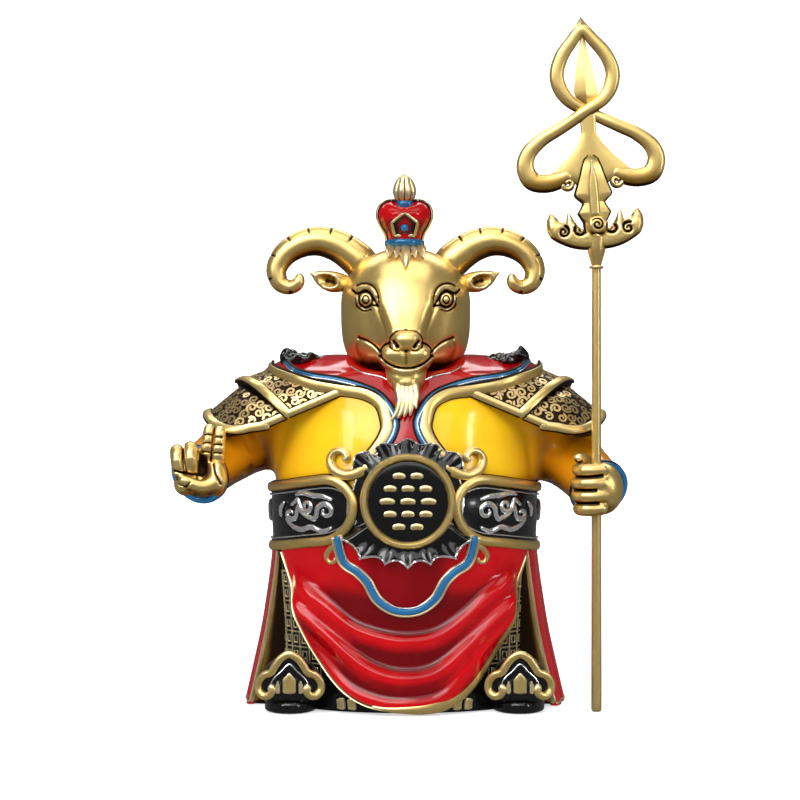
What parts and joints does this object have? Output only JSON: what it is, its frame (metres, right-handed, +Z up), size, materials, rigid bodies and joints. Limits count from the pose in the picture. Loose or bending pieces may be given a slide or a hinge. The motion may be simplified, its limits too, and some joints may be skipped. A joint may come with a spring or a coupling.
{
  "type": "chinese zodiac figure",
  "caption": "Cast brass desk figure of a goat-headed general in enamelled armour and robe, holding a tall ornamental polearm that stands beside the figure.",
  "frame": {"origin": "centre of the figure's flat underside", "axes": "+Z up, the figure faces -Y and holds the polearm on its +X side"},
  "size_m": [0.1279, 0.067, 0.1785],
  "materials": {
    "red_enamel": "deep red glossy enamel",
    "yellow_enamel": "yellow enamel shading to amber",
    "black_enamel": "glossy black enamel",
    "blue_enamel": "light blue enamel",
    "gilt_brass": "polished antique brass, dark in the recesses",
    "silver_lustre": "thin silver lustre on the raised lines"
  },
  "bodies": {
    "root": {"figure": "red_enamel", "polearm": "gilt_brass"}
  },
  "joints": []
}
